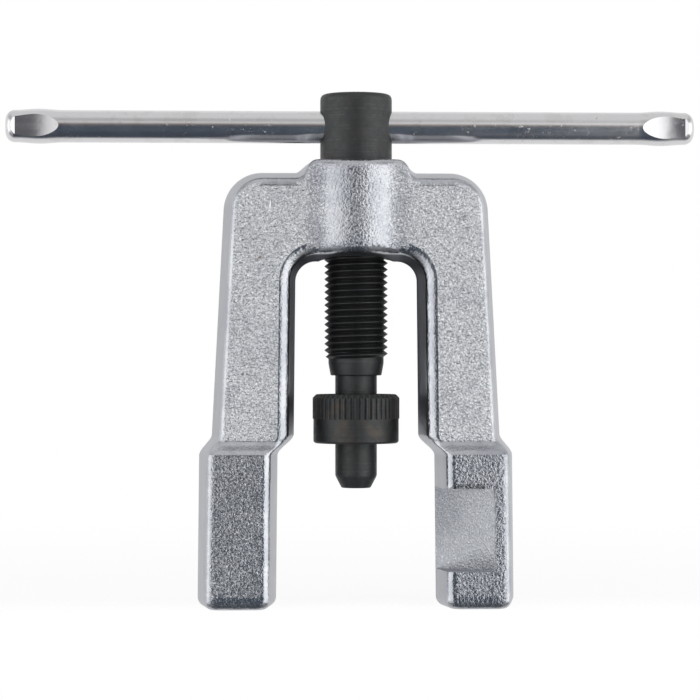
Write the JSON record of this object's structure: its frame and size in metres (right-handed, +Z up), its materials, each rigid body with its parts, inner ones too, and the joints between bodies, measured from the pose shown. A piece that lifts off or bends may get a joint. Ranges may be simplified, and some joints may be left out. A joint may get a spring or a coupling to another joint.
{
  "type": "ball joint separator",
  "caption": "Screw press with a drop-forged U-shaped yoke, hooked feet, a knurled collar and a sliding cross bar, for pressing ball joints apart.",
  "frame": {"origin": "on the screw's axis, level with the undersides of the feet", "axes": "+X across the yoke towards the right foot, whose recess opens to the front, +Y to the back, +Z up along the screw"},
  "size_m": [0.1354, 0.022, 0.1007],
  "materials": {
    "zinc_plated_forging": "shot-blasted drop forging under bright zinc plating, fine even grain",
    "black_oxide_steel": "turned steel, black oxide with a trace of oil",
    "bright_plated_bar": "drawn round bar, bright plating with fine lengthwise scratches",
    "black_oxide_collar": "turned and straight-knurled steel, black oxide, worn on the ridges",
    "spring_wire": "plain spring wire"
  },
  "bodies": {
    "yoke_body": {"yoke": "zinc_plated_forging"},
    "ring_body": {"retaining_ring": "spring_wire"},
    "spindle_body": {"spindle": "black_oxide_steel"},
    "collar_body": {"knurled_collar": "black_oxide_collar"},
    "bar_body": {"tommy_bar": "bright_plated_bar"}
  },
  "joints": [
    {"name": "spindle_feed", "type": "slide", "parent": "yoke_body", "child": "ring_body", "axis": [0, 0, 1], "range_m": [0, 0.0254]},
    {"name": "spindle_turn", "type": "hinge", "parent": "ring_body", "child": "spindle_body", "pos_m": [0, 0, 0.0364], "axis": [0, 0, 1], "range_deg": [0, 7200]},
    {"name": "collar_spin", "type": "hinge", "parent": "ring_body", "child": "collar_body", "pos_m": [0, 0, 0.0364], "axis": [0, 0, 1], "continuous": true},
    {"name": "bar_slide", "type": "slide", "parent": "spindle_body", "child": "bar_body", "axis": [1, 0, 0], "range_m": [-0.0492, 0.051]}
  ],
  "couplings": [
    {"joint": "spindle_feed", "follows": "spindle_turn", "m_per_rad": 0.00020213}
  ]
}
